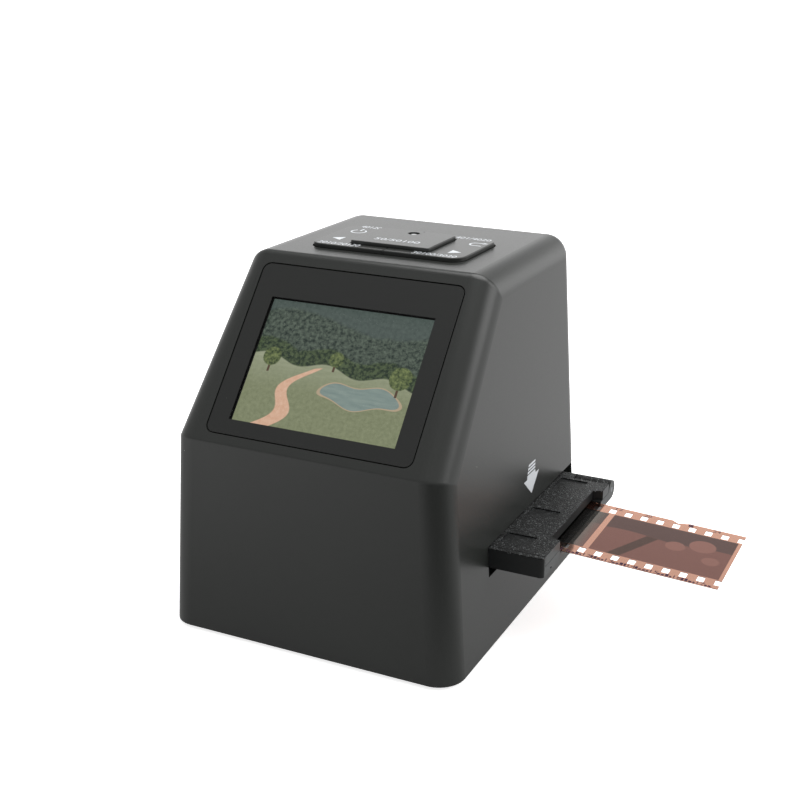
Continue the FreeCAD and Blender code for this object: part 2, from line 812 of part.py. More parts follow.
def film_path(offset, start, end):
    """Edges of one face of the strip, seen from the front: level, bent, then straight down."""
    turn = math.radians(droop_deg)
    radius = droop_radius + offset
    z = film_z + offset
    centre = V(droop_start, 0, film_z - droop_radius)
    bent = V(radius * math.sin(turn), 0, radius * math.cos(turn)) + centre
    middle = V(radius * math.sin(turn / 2), 0, radius * math.cos(turn / 2)) + centre
    run = (end - bent.x) / math.cos(turn)
    tip = bent + V(run * math.cos(turn), 0, -run * math.sin(turn))
    level = Part.LineSegment(V(start, 0, z), V(droop_start, 0, z))
    arc = Part.Arc(V(droop_start, 0, z), middle, bent)
    return [level.toShape(), arc.toShape(), Part.LineSegment(bent, tip).toShape()], tip


def film_strip():
    start = film_out - film_frames * film_frame_pitch
    lower, low_tip = film_path(0, start, film_out)
    upper, high_tip = film_path(film_thick, start, film_out)
    ends = [Part.LineSegment(low_tip, high_tip).toShape(),
            Part.LineSegment(V(start, 0, film_z + film_thick), V(start, 0, film_z)).toShape()]
    outline = Part.Wire(Part.__sortEdges__(lower + upper + ends))
    strip = Part.Face(outline).extrude(V(0, film_width, 0))
    strip.translate(V(0, holder_y - film_width / 2, 0))
    low = film_z - rise(film_out - droop_start, droop_deg) - over
    count = int((film_out - start) / perforation_pitch)
    holes = []
    for step in range(count):
        x = film_out - perforation_offset - step * perforation_pitch
        for side in (-1, 1):
            holes.append(block(perforation_length, perforation_height, (low, film_z + over),
                               (x, holder_y + side * perforation_row)))
    edge = holder_y + film_width / 2
    nick = prism([V(nick_out, edge, low), V(nick_out + nick_length / 3, edge - nick_depth, low),
                  V(nick_out + nick_length, edge, low)], V(0, 0, film_z + over - low))
    return strip.cut(holes + [nick])


# Gate and light box


def film_gate():
    """Chassis: a tunnel that guides the holder, open at both ends, with posts for the board."""
    x = (-gate_length / 2, gate_length / 2)
    outside = box(x, (gate_front - gate_wall, gate_back + gate_wall), (gate_low, gate_top))
    tunnel = box((x[0] - over, x[1] + over), (gate_front, gate_back), (gate_floor, gate_roof))
    posts = [post(post_radius, (gate_top - over, main_board_low), place) for place in POSTS]
    solid = join([outside] + posts)
    cuts = [tunnel, gate_window((gate_low - over, gate_top + over)), spring_room()]
    cuts += [post(board_screw_radius + screw_fit, (gate_low - over, gate_floor + over), place)
             for place in GATE_FEET]
    cuts += [post(board_screw_head_radius + screw_fit, (gate_seat, gate_floor + gate_clear), place)
             for place in GATE_FEET]
    cuts += [post(board_screw_radius + screw_fit, (main_board_low - board_screw_length, main_board_low + over),
                  place) for place in POSTS]
    return solid.cut(cuts)


def spring_room():
    """Pocket in the gate's back wall that the leaf spring lies in."""
    z = ((gate_floor + gate_roof - spring_height) / 2, (gate_floor + gate_roof + spring_height) / 2)
    return box((-spring_length / 2, spring_length / 2), (gate_back - over, gate_back + spring_bow), z)


def holder_spring():
    """Leaf spring, bowed towards the holder's back edge."""
    near = holder_back + spring_press
    far = gate_back + spring_bow - spring_thick
    half = spring_length / 2 - spring_thick
    edges = []
    for offset in (0, spring_thick):
        edges.append(Part.Arc(V(-half, far + offset, 0), V(0, near + offset, 0), V(half, far + offset, 0)).toShape())
    for x in (-half, half):
        edges.append(Part.LineSegment(V(x, far, 0), V(x, far + spring_thick, 0)).toShape())
    leaf = Part.Face(Part.Wire(Part.__sortEdges__(edges)))
    leaf.translate(V(0, 0, (gate_floor + gate_roof - spring_height) / 2))
    return leaf.extrude(V(0, 0, spring_height))


def gate_screws():
    return Part.makeCompound([board_screw((x, y, gate_seat), -1) for x, y in GATE_FEET])


def light_box():
    """White reflector: it widens from the lamp board to the diffuser."""
    z = (cover_top, light_box_top)
    aspect = light_box_y / light_box_x
    low, high = (light_box_floor, light_box_floor * aspect), (light_box_x, light_box_y)
    outer = frustum(low, high, z, (0, holder_y))
    inner = frustum([s - 2 * light_box_wall for s in low], [s - 2 * light_box_wall for s in high],
                    (z[0], z[1] + over / 1000), (0, holder_y))
    return outer.cut(inner)


def lamp_board():
    solids = [block(lamp_board_x, lamp_board_y * light_box_y / light_box_x + lamp_height,
                    (cover_top, cover_top + board_thick), (0, holder_y))]
    pitch = lamp_board_x / (lamp_count + 1)
    for i in range(lamp_count):
        x = (i - (lamp_count - 1) / 2) * pitch
        solids.append(block(lamp_size, lamp_size, (cover_top + board_thick, cover_top + board_thick + lamp_height),
                            (x, holder_y)))
    return join(solids)


def diffuser():
    return block(light_box_x + diffuser_lap, light_box_y + diffuser_lap, (light_box_top, gate_low),
                 (0, holder_y))


# Lens tower


def lens_tower():
    """Dark shroud between the gate and the lens, with a flange for the sensor board."""
    at = (0, holder_y)
    foot, neck = (tower_foot_x, tower_foot_y), (tower_neck, tower_neck)
    thin = 2 * tower_wall
    outer = [frustum(foot, neck, (gate_top, tower_mid), at),
             block(tower_neck, tower_neck, (tower_mid, tower_top), at),
             block(sensor_board_x, sensor_board_y, (tower_top, sensor_board_low), at)]
    inner = [frustum([s - thin for s in foot], [s - thin for s in neck], (gate_top, tower_mid), at),
             block(tower_neck - thin, tower_neck - thin, (tower_mid, sensor_board_low + over), at)]
    holes = [post(board_screw_radius + screw_fit, (tower_top - over, sensor_board_low + over), place)
             for place in SENSOR_SCREWS]
    return join(outer).cut(join(inner)).cut(holes)


def sensor_board():
    board = block(sensor_board_x, sensor_board_y, (sensor_board_low, sensor_board_top), (0, holder_y))
    holes = [post(board_screw_radius + screw_fit, (sensor_board_low - over, sensor_board_top + over), place)
             for place in SENSOR_SCREWS]
    return board.cut(holes)


def image_sensor():
    return block(sensor_size, sensor_size, (sensor_board_low - sensor_height, sensor_board_low), (0, holder_y))


def lens_mount():
    z = (sensor_board_low - lens_mount_height, sensor_board_low)
    body = block(lens_mount_size, lens_mount_size, z, (0, holder_y))
    bore = post(lens_radius + lens_fit, (z[0] - over, z[1] - sensor_height), (0, holder_y))
    room = block(sensor_size + 2 * lens_radius / 4, sensor_size + 2 * lens_radius / 4,
                 (z[1] - 2 * sensor_height, z[1] + over), (0, holder_y))
    return body.cut([bore, room])


def lens_barrel():
    z = (lens_low, lens_low + lens_length)
    barrel = post(lens_radius, z, (0, holder_y))
    mouth = Part.makeCone(lens_radius * 3 / 4, glass_radius, sensor_height, V(0, holder_y, z[0]))
    rear = post(glass_radius, (z[1] - sensor_height, z[1] + over), (0, holder_y))
    return barrel.cut([mouth, rear])


# Main board


def main_board():
    board = box((-main_board_x / 2, main_board_x / 2), (main_board_front, main_board_back),
                (main_board_low, main_board_top))
    holes = [post(board_screw_radius + screw_fit, (main_board_low - over, main_board_top + over), place)
             for place in POSTS]
    return board.cut(holes)


def processor():
    """Chip under the main board that reads the sensor and drives the screen."""
    size = main_board_y - 2 * (board_screw_head_radius + post_radius)
    return block(size, size, (main_board_low - lamp_height, main_board_low),
                 (0, (main_board_front + main_board_back) / 2))


def card_socket():
    """Memory card socket whose mouth reaches into the back wall."""
    z = (main_board_top, main_board_top + card_height)
    case = box((card_x - card_width / 2, card_x + card_width / 2), (card_front, card_back), z)
    skin = (card_height - card_slot_height) / 2
    mouth = box((card_x - card_slot_width / 2 + skin, card_x + card_slot_width / 2 - skin),
                (card_front + usb_wall, card_back + over), (z[0] + skin, z[1] - skin))
    return case.cut(mouth)


def usb_socket():
    """Plug socket whose mouth reaches into the back wall."""
    back = main_board_back + socket_reach
    z = (main_board_top, main_board_top + usb_height)
    case = box((usb_x - usb_width / 2, usb_x + usb_width / 2), (back - usb_depth, back), z)
    mouth = block(usb_width - 2 * usb_wall, 2 * (usb_depth - usb_wall), (z[0] + usb_wall, z[1] - usb_wall),
                  (usb_x, back))
    tongue = block(usb_width / 2, 2 * usb_depth, ((z[0] + z[1] - usb_wall) / 2, (z[0] + z[1] + usb_wall) / 2),
                   (usb_x, back))
    tongue = tongue.common(box((-width, width), (back - usb_depth, back - usb_wall), z))
    return case.cut(mouth.cut(tongue))


def ribbon(points, x):
    """Flat cable along straight runs and arcs in a plane across X."""
    edges = []
    here = points[0]
    for before, corner, after in zip(points, points[1:], points[2:]):
        back, on = (before - corner).normalize(), (after - corner).normalize()
        half = math.acos(back.dot(on)) / 2
        cut = cable_bend / math.tan(half)
        start, end = corner + back * cut, corner + on * cut
        centre = corner + (back + on).normalize() * (cable_bend / math.sin(half))
        middle = centre + (corner - centre).normalize() * cable_bend
        edges.append(Part.LineSegment(here, start).toShape())
        edges.append(Part.Arc(start, middle, end).toShape())
        here = end
    edges.append(Part.LineSegment(here, points[-1]).toShape())
    path = Part.Wire(edges)
    first = (points[1] - points[0]).normalize()
    side = V(1, 0, 0).cross(first) * (cable_thick / 2)
    reach = V(cable_width / 2, 0, 0)
    corners = [points[0] + a + b for a, b in ((reach, side), (reach, -side), (-reach, -side), (-reach, side))]
    section = Part.makePolygon(corners + corners[:1])
    solid = path.makePipeShell([section], True, False)
    solid.translate(V(x, 0, 0))
    return solid


def screen_cable():
    """From the back of the screen to the front of the main board."""
    y0, z0 = slope_point(picture_v, panel_back)
    y1, z1 = slope_point(picture_v, panel_back - 3 * cable_bend)
    end_z = main_board_top + cable_thick / 2
    points = [V(0, y0, z0), V(0, y1, z1), V(0, main_board_front - 2 * cable_bend, end_z),
              V(0, main_board_front + cable_bend, end_z)]
    return ribbon(points, screen_cable_x)


def sensor_cable():
    """From the top of the sensor board down to the main board."""
    start_y = holder_y + sensor_board_y / 2 - cable_bend
    down_y = holder_y + sensor_board_y / 2 + 2 * cable_bend
    z = sensor_board_top + cable_thick / 2
    end_z = main_board_top + cable_thick / 2
    points = [V(0, start_y, z), V(0, down_y, z), V(0, down_y, end_z), V(0, down_y + 2 * cable_bend, end_z)]
    return ribbon(points, sensor_cable_x)


def board_screws():
    """The small screws that hold the boards and the screen bracket."""
    screws = [board_screw((x, y, key_board_low), 1) for x, y in KEY_BOSSES]
    screws += [board_screw((x, y, sensor_board_top), -1) for x, y in SENSOR_SCREWS]
    screws += [board_screw((x, y, main_board_top), -1) for x, y in POSTS]
    screws += [on_slope(board_screw((x, v, bracket_back), 1)) for x, v in BRACKET_BOSSES]
    return Part.makeCompound(screws)


PIECES = {
    "housing": housing,
    "base_cover": base_cover,
    "rubber_feet": rubber_feet,
    "base_screws": base_screws,
    "screen_window": screen_window,
    "lcd_gasket": lcd_gasket,
    "lcd_panel": lcd_panel,
    "lcd_bracket": lcd_bracket,
    "ok_key": ok_key,
    "left_rocker": left_rocker,
    "right_rocker": right_rocker,
    "key_frame": key_frame,
    "key_board": key_board,
    "tact_switches": tact_switches,
    "light_pipe": light_pipe,
    "holder_base": holder_base,
    "holder_lid": holder_lid,
    "hinge_pin": hinge_pin,
    "film_strip": film_strip,
    "film_gate": film_gate,
    "holder_spring": holder_spring,
    "gate_screws": gate_screws,
    "light_box": light_box,
    "lamp_board": lamp_board,
    "diffuser": diffuser,
    "lens_tower": lens_tower,
    "sensor_board": sensor_board,
    "image_sensor": image_sensor,
    "lens_mount": lens_mount,
    "lens_barrel": lens_barrel,
    "main_board": main_board,
    "processor": processor,
    "card_socket": card_socket,
    "usb_socket": usb_socket,
    "screen_cable": screen_cable,
    "sensor_cable": sensor_cable,
    "board_screws": board_screws,
}


def main():
    os.makedirs("parts", exist_ok=True)
    for name, make in PIECES.items():
        shape = make()
        shape.exportStep("parts/" + name + ".step")
        print(name, "solids", len(shape.Solids), "valid", shape.isValid(), "volume", round(shape.Volume, 2))


main()
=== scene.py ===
"""Looks of the film negative scanner: finishes for the packed pieces, the prints on its
keys, side and film, and the stage that it is shown on. Every length is in metres."""

import bpy
import bmesh
import math
from mathutils import Matrix, Vector


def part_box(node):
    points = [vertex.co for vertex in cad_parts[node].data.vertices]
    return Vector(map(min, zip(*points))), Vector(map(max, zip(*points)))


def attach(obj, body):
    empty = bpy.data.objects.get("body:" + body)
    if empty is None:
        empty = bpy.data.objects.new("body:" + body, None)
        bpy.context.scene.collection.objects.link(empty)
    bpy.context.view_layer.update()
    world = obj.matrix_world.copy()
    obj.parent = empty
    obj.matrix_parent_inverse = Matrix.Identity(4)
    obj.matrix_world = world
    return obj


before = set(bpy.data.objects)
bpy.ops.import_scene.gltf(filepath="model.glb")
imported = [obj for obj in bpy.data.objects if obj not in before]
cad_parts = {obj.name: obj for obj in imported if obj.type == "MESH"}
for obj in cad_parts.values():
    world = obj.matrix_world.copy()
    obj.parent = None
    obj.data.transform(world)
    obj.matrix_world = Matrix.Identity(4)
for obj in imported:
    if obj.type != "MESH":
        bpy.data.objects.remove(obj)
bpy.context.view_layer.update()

bl_info = {
    "name": "Film negative scanner",
    "version": (1, 0, 0),
    "blender": (4, 5, 0),
    "location": "View3D > Sidebar > Scanner",
    "description": "Finishes, prints and stage of a film negative scanner",
    "category": "Object",
}


def srgb(red, green, blue):
    """Linear colour from the 0 to 255 values that a screen shows."""
    def channel(value):
        share = value / 255
        return share / 12.92 if share <= 0.04045 else ((share + 0.055) / 1.055) ** 2.4
    return channel(red), channel(green), channel(blue)


def shaded(colour, share):
    """A colour made darker, or lighter up to white."""
    return tuple(min(1.0, channel * share) for channel in colour)


# The sloping face: where it meets the front, and its angle
SLOPE_LINE = Vector((0.0, -0.048814, 0.0576))
SLOPE_ANGLE = math.radians(49.956)
SIDE_DRAFT = math.radians(3.6)
PICTURE_FOOT = 0.00735
PICTURE_DEPTH = -0.0015
ROCKER_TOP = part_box("right_rocker")[1].z
OK_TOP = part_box("ok_key")[1].z
FILM_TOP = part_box("film_strip")[1].z
FILM_MIDDLE = (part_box("film_strip")[0].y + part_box("film_strip")[1].y) / 2
FILM_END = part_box("film_strip")[1].x
HOLDER_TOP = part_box("holder_base")[1].z
HOLDER_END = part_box("holder_base")[1].x - 0.00004
HINGE_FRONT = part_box("hinge_pin")[0].y - 0.0022
HALF_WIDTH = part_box("housing")[1].x
HOUSING_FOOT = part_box("housing")[0].z
# How deep a print's underside lies in the surface that it is on
PRINT_SINK = 0.00001
# Marks along the film's edge: where the first is, from one to the next, and their row's place
FIRST_MARK = 0.0592
MARK_STEP = 0.0021
MARK_COUNT = 20
EDGE_ROW = 0.01648


def on_slope(across, up, out=0.0):
    """Point on the sloping face, from its lower edge and out of it."""
    return SLOPE_LINE + Vector((across, up * math.cos(SLOPE_ANGLE) - out * math.sin(SLOPE_ANGLE),
                                up * math.sin(SLOPE_ANGLE) + out * math.cos(SLOPE_ANGLE)))


class Wire:
    """A number on its way through a finish. Arithmetic on it adds Math nodes."""

    def __init__(self, finish, socket):
        self.finish = finish
        self.socket = socket

    def math(self, operation, *values, clamp=False):
        return self.finish.add("ShaderNodeMath", {"operation": operation, "use_clamp": clamp},
                               {place: value for place, value in enumerate(values)})

    def __add__(self, other):
        return self.math("ADD", self, other)

    __radd__ = __add__

    def __sub__(self, other):
        return self.math("SUBTRACT", self, other)

    def __rsub__(self, other):
        return self.math("SUBTRACT", other, self)

    def __mul__(self, other):
        return self.math("MULTIPLY", self, other)

    __rmul__ = __mul__

    def __truediv__(self, other):
        return self.math("DIVIDE", self, other)

    def __mod__(self, other):
        return self.math("FLOORED_MODULO", self, other)

    def __pow__(self, other):
        return self.math("POWER", self, other)

    def __abs__(self):
        return self.math("ABSOLUTE", self)

    def sine(self):
        return self.math("SINE", self)

    def most(self, other):
        return self.math("MAXIMUM", self, other)

    def above(self, edge, soft):
        """1 where the number is above the edge and 0 below, over a soft border."""
        return self.math("DIVIDE", self - edge, soft, clamp=True)

    def below(self, edge, soft):
        """1 where the number is below the edge, falling to 0 over a soft border above it."""
        return 1 - self.above(edge, soft)


class Finish:
    """A material, or the room's light, under construction."""

    def __init__(self, name, room=None):
        self.material = room or bpy.data.materials.new(name)
        self.material.use_nodes = True
        self.tree = self.material.node_tree
        self.tree.nodes.clear()
        self.place = self.add("ShaderNodeTexCoord", {}, {}, "Generated" if room else "Object")

    def add(self, kind, settings, inputs, output=0):
        """Add a node, set it, feed its sockets and return one of its outputs."""
        node = self.tree.nodes.new(kind)
        for name, value in settings.items():
            setattr(node, name, value)
        for name, value in inputs.items():
            socket = node.inputs[name]
            if isinstance(value, Wire):
                self.tree.links.new(value.socket, socket)
            elif isinstance(value, (tuple, list)) and len(value) == 3 and socket.type == "RGBA":
                socket.default_value = (*value, 1.0)
            else:
                socket.default_value = value
        return Wire(self, node.outputs[output]) if node.outputs else None

    def mix(self, share, first, second):
        """Blend two colours."""
        return self.add("ShaderNodeMix", {"data_type": "RGBA"}, {0: share, 6: first, 7: second}, 2)

    def noise(self, size, detail=2.0, place=None, roughness=0.5):
        """Cloudy pattern whose features have about this size."""
        return self.add("ShaderNodeTexNoise", {}, {"Vector": place or self.place, "Scale": 1 / size,
                                                   "Detail": detail, "Roughness": roughness}, 0)

    def cells(self, size, output="Distance"):
        """Cells of about this size, by the distance from their middle or by their colour."""
        return self.add("ShaderNodeTexVoronoi", {}, {"Vector": self.place, "Scale": 1 / size}, output)

    def axes(self, place=None):
        """The three coordinates of a place as numbers."""
        split = self.add("ShaderNodeSeparateXYZ", {}, {"Vector": place or self.place}, 0)
        return [Wire(self, split.socket.node.outputs[axis]) for axis in range(3)]

    def bump(self, height, depth):
        """Relief of this depth in metres."""
        return self.add("ShaderNodeBump", {}, {"Height": height, "Distance": depth, "Strength": 1.0})

    def surface(self, inputs):
        """Close the material with a Principled shader."""
        shader = self.add("ShaderNodeBsdfPrincipled", {}, inputs)
        self.add("ShaderNodeOutputMaterial", {}, {"Surface": shader})
        return self.material


DUST_CELL = 0.0052


def speckle(finish, colour, dust, share):
    """Scatter a few pale specks of dust over a colour, one in this share of the cells."""
    near = finish.cells(DUST_CELL)
    pick = finish.add("ShaderNodeSeparateColor", {}, {"Color": finish.cells(DUST_CELL, "Color")}, 0)
    spot = near.below(0.016, 0.008) * pick.above(1 - share, 0.01)
    return finish.mix(spot, colour, dust)


def moulded(name, colour, roughness=0.5, grain=0.00035, depth=0.00001, dust=0.0, level=0.5):
    """Injection-moulded plastic with a fine spark-eroded grain."""
    finish = Finish(name)
    cloud = finish.noise(0.02, 3.0)
    fine = finish.noise(grain, 2.0)
    shade = finish.mix(cloud, shaded(colour, 0.92), shaded(colour, 1.08))
    shade = finish.mix(fine.above(0.62, 0.2) * 0.25, shade, shaded(colour, 1.35))
    if dust:
        shade = speckle(finish, shade, srgb(190, 192, 188), dust)
    return finish.surface({
        "Base Color": shade,
        "Roughness": roughness - 0.05 + 0.1 * fine,
        "Specular IOR Level": level,
        "Normal": finish.bump(fine, depth),
    })


def pebbled(name, colour, pebble):
    """Coarse leather-like grain of small rounded pebbles on top and on the hinge, and smooth ends. Painted
    shade darkens the hollows between the pebbles, painted highlights lighten some pebble tops, and the smooth
    ends are painted lighter, as if lit.
    """
    finish = Finish(name)
    x, y, z = finish.axes()
    in_recess = z.above(HOLDER_TOP - 0.0004, 0.00004)
    on_top = z.above(HOLDER_TOP - 0.0002, 0.00004)
    top = 0.5 * in_recess + 0.5 * on_top
    coarse = top.most(y.above(HINGE_FRONT, 0.0001)) * x.below(HOLDER_END, 0.00002)
    stones = finish.cells(pebble)
    fine = finish.noise(pebble / 3, 2.0)
    # Painted highlight: the tops of some pebbles are painted thirteen times lighter, standing in for glints
    # of light on them
    painted_pebble_highlight = stones.below(0.24, 0.16) * finish.noise(pebble * 2, 2.0).above(0.45, 0.15) * coarse
    # Painted shade: the hollows between the pebbles are painted five times darker
    shade = finish.mix(stones.above(0.35, 0.3) * coarse, colour, shaded(colour, 0.2))
    shade = finish.mix(painted_pebble_highlight, shade, shaded(colour, 13))
    # Painted light: the smooth end faces are painted five times lighter, as if lit from the right
    shade = finish.mix(x.above(HOLDER_END, 0.00002), shade, shaded(colour, 5))
    shade = speckle(finish, shade, srgb(150, 150, 148), 0.15)
    height = (1 - stones * stones + 0.25 * fine) * coarse + 0.04 * fine
    return finish.surface({
        "Base Color": shade,
        "Roughness": 0.35 + 0.1 * fine + 0.1 * coarse,
        "Specular IOR Level": 0.2,
        "Normal": finish.bump(height, 0.00012),
    })


def rubber(name, colour):
    """Dull rubber or foam."""
    finish = Finish(name)
    fine = finish.noise(0.0004, 3.0)
    shade = finish.mix(fine, shaded(colour, 0.8), shaded(colour, 1.3))
    return finish.surface({"Base Color": shade, "Roughness": 0.75 + 0.15 * fine,
                           "Normal": finish.bump(fine, 0.00002)})


def metal(name, colour):
    """Rolled or turned metal with fine lines in one direction."""
    finish = Finish(name)
    place = finish.add("ShaderNodeMapping", {}, {"Vector": finish.place, "Scale": (1, 12, 1)})
    lines = finish.noise(0.0008, 3.0, place)
    shade = finish.mix(lines, shaded(colour, 0.8), shaded(colour, 1.15))
    return finish.surface({"Base Color": shade, "Metallic": 1.0, "Roughness": 0.32 + 0.15 * lines,
                           "Normal": finish.bump(lines, 0.000005)})


def circuit(name, mask, copper):
    """Circuit board: solder mask over traces, with dots of bare pads."""
    finish = Finish(name)
    x, y, z = finish.axes()
    traces_per_metre = 700
    lane = abs((x * traces_per_metre) % 1 - 0.5)
    cross = abs((y * traces_per_metre) % 1 - 0.5)
    pick = finish.noise(0.006, 0.0).above(0.5, 0.02)
    trace = (lane * pick + cross * (1 - pick)).below(0.16, 0.05)
    pad = finish.cells(0.0021).below(0.16, 0.04)
    shade = finish.mix(trace * 0.6, mask, shaded(mask, 1.9))
    shade = finish.mix(pad, shade, copper)
    return finish.surface({"Base Color": shade, "Metallic": pad * 0.8, "Roughness": 0.4 - 0.1 * pad,
                           "Normal": finish.bump(trace + pad, 0.00002)})


def screen_glass(name, border, clear_width, clear_height):
    """Clear window with a black printed border round the picture."""
    finish = Finish(name)
    place = finish.add("ShaderNodeMapping", {"vector_type": "TEXTURE"},
                       {"Vector": finish.place, "Location": on_slope(0, PICTURE_FOOT + clear_height / 2),
                        "Rotation": (SLOPE_ANGLE, 0, 0)})
    across, up, out = finish.axes(place)
    outside = abs(across).above(clear_width / 2, 0.00008).most(abs(up).above(clear_height / 2, 0.00008))
    cloud = finish.noise(0.03, 2.0)
    shade = finish.mix(cloud, shaded(border, 0.95), shaded(border, 1.06))
    shade = speckle(finish, shade, srgb(150, 155, 150), 0.55)
    fine = finish.noise(0.0003, 1.0)
    return finish.surface({
        "Base Color": shade,
        "Alpha": 0.04 + 0.96 * outside,
        "Roughness": 0.3 + 0.12 * fine,
        "Specular IOR Level": 0.35,
        "Normal": finish.bump(fine, 0.000003),
    })


# Trees of the two landscapes: place across, height of the foot, and size
SCREEN_TREES = ((0.11, 0.47, 0.075), (0.5, 0.53, 0.06), (0.9, 0.43, 0.09))
FILM_TREES = ((0.0285, 0.2, 0.0036), (0.0215, 0.06, 0.0026), (0.0325, -0.12, 0.0022))


def screen_picture(name, width, height, glow):
    """A lit landscape of our own: hills, a meadow, a path, a lake and round trees."""
    finish = Finish(name)
    place = finish.add("ShaderNodeMapping", {"vector_type": "TEXTURE"},
                       {"Vector": finish.place, "Location": on_slope(-width / 2, PICTURE_FOOT, PICTURE_DEPTH),
                        "Rotation": (SLOPE_ANGLE, 0, 0), "Scale": (width, height, 1)})
    across, up, out = finish.axes(place)
    flat = finish.add("ShaderNodeMapping", {}, {"Vector": place, "Scale": (1.35, 1, 0)})
    leaves = finish.noise(0.03, 4.0, flat, 0.65)
    woods = finish.noise(0.11, 3.0, flat)
    lying = finish.add("ShaderNodeMapping", {}, {"Vector": flat, "Scale": (0.35, 2, 1)})
    grass = finish.noise(0.05, 4.0, lying)
    haze = finish.mix(leaves, srgb(47, 59, 57), srgb(94, 106, 100))
    forest = finish.mix(leaves.above(0.35, 0.3), srgb(30, 42, 38), srgb(92, 104, 92))
    hill = up.below(0.83 + 0.07 * (across * 5.5 + 0.6).sine() + 0.05 * woods, 0.03)
    view = finish.mix(hill, haze, forest)
    edge = 0.55 - 0.1 * across + 0.03 * (across * 17).sine()
    near_woods = finish.mix(leaves.above(0.4, 0.2), srgb(30, 44, 34), srgb(78, 92, 64))
    view = finish.mix(up.below(edge + 0.09 + 0.06 * woods, 0.02), view, near_woods)
    meadow = finish.mix(grass, srgb(128, 136, 108), srgb(172, 176, 152))
    near_grass = finish.mix(leaves, srgb(96, 104, 76), srgb(150, 156, 124))
    meadow = finish.mix(up.below(0.3, 0.3), meadow, near_grass)
    view = finish.mix(up.below(edge, 0.01), view, meadow)
    lake = ((across - 0.7) / 0.24) ** 2 + ((up - 0.33 + 0.02 * (across * 21).sine()) / 0.085) ** 2
    sand = srgb(176, 158, 132)
    water = finish.mix(grass, srgb(102, 122, 120), srgb(146, 160, 152))
    view = finish.mix(lake.below(1.12, 0.04), view, sand)
    view = finish.mix(lake.below(0.96, 0.04), view, water)
    path = abs(across - 0.16 - 0.42 * up - 0.06 * (up * 14).sine())
    path = path.below(0.055 - 0.08 * up, 0.006) * up.below(edge - 0.03, 0.01)
    view = finish.mix(path, view, finish.mix(leaves, srgb(196, 146, 116), srgb(228, 196, 172)))
    bark = srgb(84, 66, 52)
    foliage = finish.mix(leaves.above(0.35, 0.3), srgb(38, 54, 34), srgb(118, 130, 82))
    for column, row, size in SCREEN_TREES:
        crown = ((across - column) * 1.35) ** 2 + (up - row - size) ** 2
        crown = (crown + 0.0016 * leaves).below(size * size, 0.0012)
        stem = abs(across - column).below(0.006, 0.002) * abs(up - row).below(size * 0.6, 0.004)
        view = finish.mix(stem, view, bark)
        view = finish.mix(crown, view, foliage)
    inside = abs(across - 0.5).below(0.5, 0.001) * abs(up - 0.5).below(0.5, 0.001)
    view = finish.mix(inside, srgb(24, 26, 26), view)
    return finish.surface({"Base Color": (0.01, 0.01, 0.01), "Roughness": 0.35, "Emission Color": view,
                           "Emission Strength": glow, "Specular IOR Level": 0.2})


def negative_film(name, mask, pitch, picture_height):
    """Orange-masked colour negative: see-through frames with a road and trees between two edges."""
    finish = Finish(name)
    x, y, z = finish.axes()
    along = (x - (FILM_END - pitch)) % pitch
    inside = along.above(0.0006, 0.0001) * along.below(pitch - 0.0011, 0.0001)
    inside = inside * abs(y - FILM_MIDDLE).below(picture_height / 2, 0.0001)
    up = (y - FILM_MIDDLE) / picture_height
    cloud = finish.noise(0.009, 2.0)
    fine = finish.noise(0.0016, 4.0)
    meadow = up.below(0.12 + 0.03 * (along * 230).sine() + 0.03 * cloud, 0.02)
    view = finish.mix(meadow, srgb(122, 102, 98), srgb(158, 118, 110))
    road = abs(along - 0.0075 - 0.011 * (up + 0.5)).below(0.0016, 0.0004) * meadow
    view = finish.mix(road, view, srgb(112, 94, 88))
    for column, row, size in FILM_TREES:
        crown = (along - column) ** 2 + ((up - row) * picture_height) ** 2
        view = finish.mix(crown.below(size * size, 0.000002), view, srgb(176, 132, 122))
    grey = finish.mix(cloud * 0.4, srgb(132, 136, 130), srgb(150, 128, 122))
    last = x.above(FILM_END - pitch, 0.0001)
    view = finish.mix(last, finish.mix(along.above(pitch * 0.88, pitch * 0.12), grey, view), view)
    view = finish.mix(fine * 0.12, view, srgb(150, 118, 108))
    base = finish.mix(cloud, mask, shaded(mask, 0.92))
    shade = finish.mix(inside, base, view)
    return finish.surface({"Base Color": shade, "Transmission Weight": 1.0, "Roughness": 0.05 + 0.04 * fine,
                           "IOR": 1.3, "Normal": finish.bump(fine, 0.000004)})


def ribbed_cable(name, colour, core):
    """Flat cable with its strands side by side."""
    finish = Finish(name)
    x, y, z = finish.axes()
    strands_per_metre = 1600
    strand = abs((x * strands_per_metre) % 1 - 0.5).below(0.28, 0.08)
    return finish.surface({"Base Color": finish.mix(strand, colour, core), "Roughness": 0.4,
                           "Normal": finish.bump(strand, 0.00004)})


def clear_lens(name, colour, roughness):
    """Tinted glass or clear plastic with a gloss on it."""
    finish = Finish(name)
    cloud = finish.noise(0.001, 1.0)
    return finish.surface({"Base Color": finish.mix(cloud, colour, shaded(colour, 0.8)),
                           "Roughness": roughness, "IOR": 1.49, "Coat Weight": 0.5})


def paint(material, *nodes):
    """Give a finish to packed nodes."""
    for name in nodes:
        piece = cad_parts[name]
        piece.data.materials.clear()
        piece.data.materials.append(material)


def deselect():
    """Leave edit mode and select nothing."""
    if bpy.context.object and bpy.context.object.mode != "OBJECT":
        bpy.ops.object.mode_set(mode="OBJECT")
    bpy.ops.object.select_all(action="DESELECT")


def settle(piece, name, body, material):
    """Apply a piece's place, name it, give it its finish and let it ride on a body."""
    deselect()
    piece.select_set(True)
    bpy.context.view_layer.objects.active = piece
    bpy.ops.object.transform_apply(location=True, rotation=True, scale=True)
    piece.name = name
    piece.data.name = name
    piece.data.materials.clear()
    piece.data.materials.append(material)
    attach(piece, body)
    return piece


